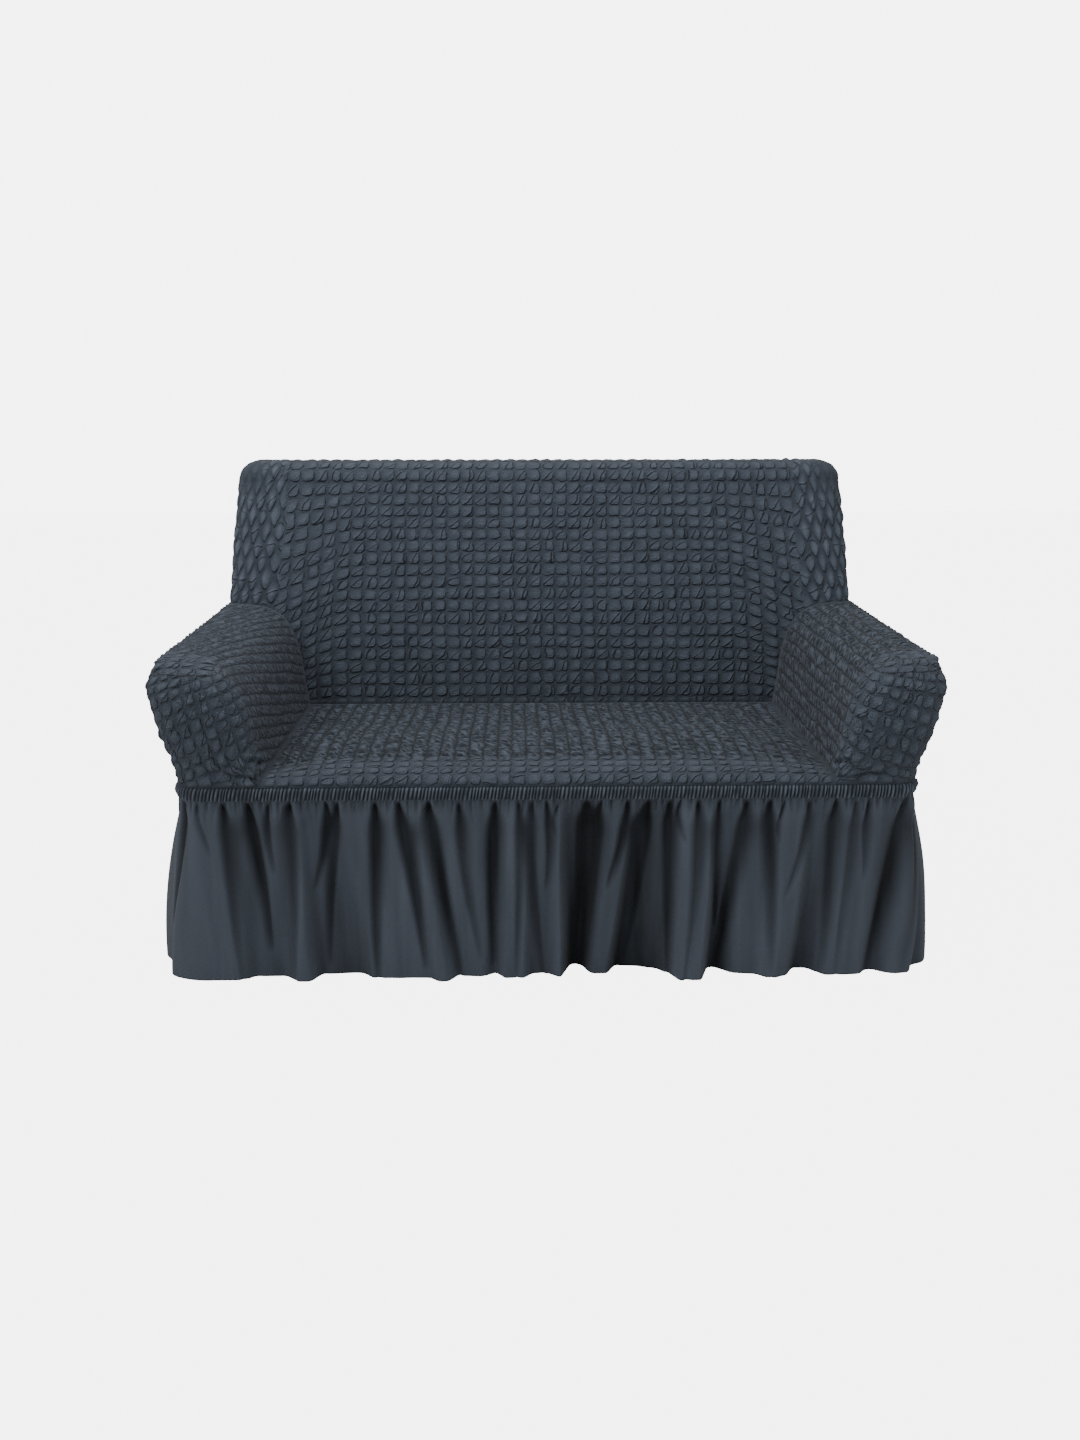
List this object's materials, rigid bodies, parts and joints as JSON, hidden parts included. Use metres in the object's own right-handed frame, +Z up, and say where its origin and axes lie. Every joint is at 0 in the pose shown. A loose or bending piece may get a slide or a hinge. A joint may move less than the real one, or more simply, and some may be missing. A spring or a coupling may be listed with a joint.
{
  "type": "sofa slipcover",
  "caption": "Fitted stretch cover for a small sofa: puckered cloth over the back, seat and arms, a shirred band all round and a gathered skirt down to the floor.",
  "frame": {"origin": "on the floor under the middle of the whole cover", "axes": "+X to the right along the width as seen from the front, +Y to the rear, +Z up"},
  "size_m": [1.5612, 0.9296, 0.936],
  "materials": {
    "stretch_cloth": "matt slate blue-grey puckered stretch cloth",
    "heading_cloth": "matt slate blue-grey shirred band",
    "skirt_cloth": "matt slate blue-grey smooth cloth with a faint fine twill"
  },
  "bodies": {
    "root": {"back_inside": "stretch_cloth", "back_outside": "stretch_cloth", "seat_panel": "stretch_cloth", "arm_left": "stretch_cloth", "arm_right": "stretch_cloth", "heading": "heading_cloth", "skirt_front": "skirt_cloth", "skirt_left": "skirt_cloth", "skirt_right": "skirt_cloth", "skirt_back": "skirt_cloth"}
  },
  "joints": []
}
